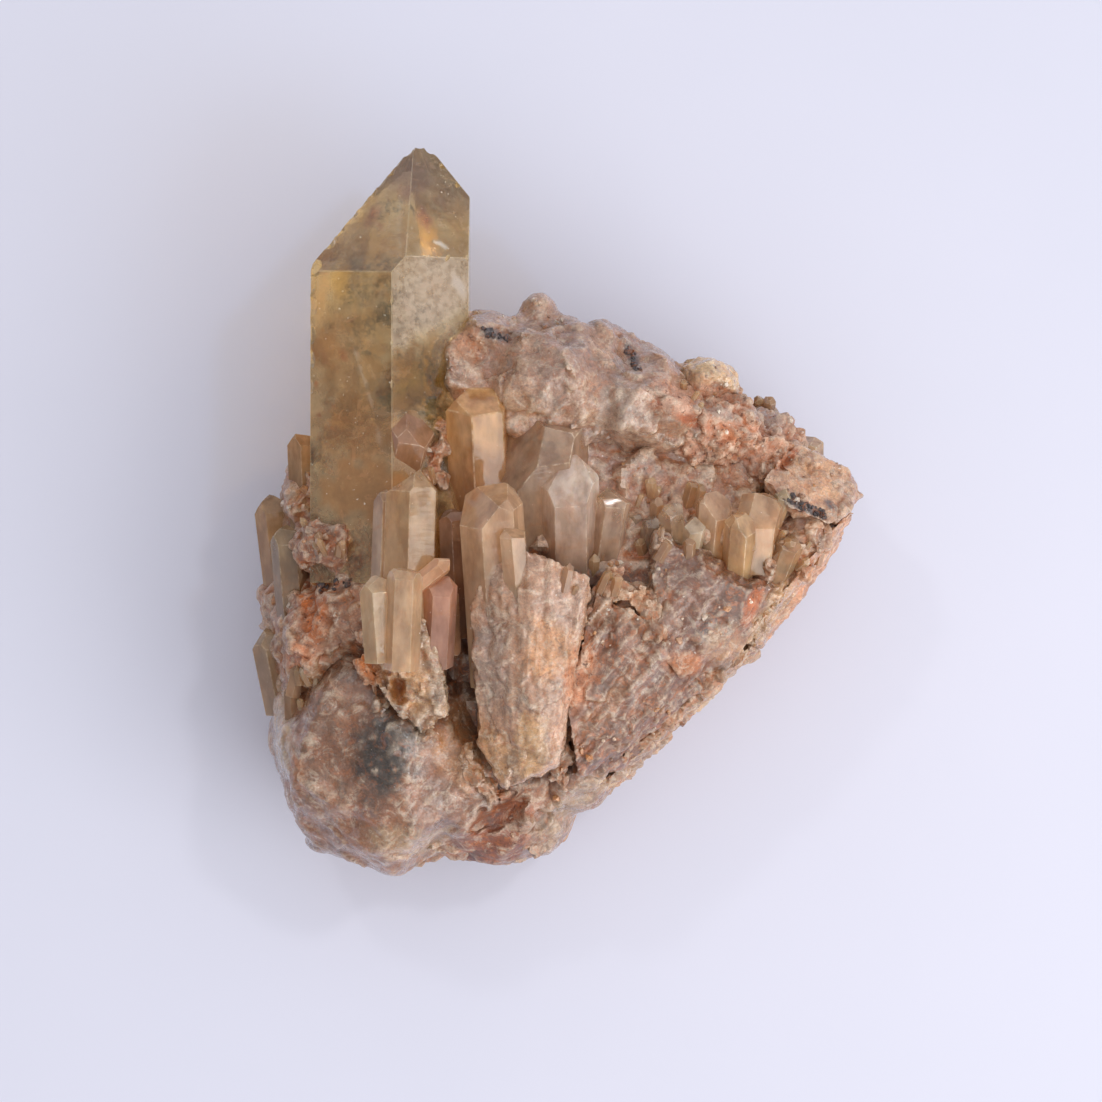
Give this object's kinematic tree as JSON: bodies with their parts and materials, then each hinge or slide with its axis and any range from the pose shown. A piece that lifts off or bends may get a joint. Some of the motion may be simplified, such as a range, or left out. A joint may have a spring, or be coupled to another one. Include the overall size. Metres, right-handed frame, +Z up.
{
  "type": "citrine crystal point",
  "caption": "Large smoky yellow quartz point with a chipped six-sided tip, grown with many smaller points on a rough, iron-stained quartz mass that lies flat.",
  "frame": {"origin": "centre of the outline seen from above, on the plane of the flat base", "axes": "+Z up from the flat base; +Y along the large point, towards its tip; +X towards the broad side of the mass"},
  "size_m": [0.0806, 0.0962, 0.0434],
  "materials": {
    "citrine": "smoky yellow quartz, glassy and see-through in the large point, cloudy and iron-stained in the mass"
  },
  "bodies": {
    "root": {"citrine_cluster": "citrine"}
  },
  "joints": []
}
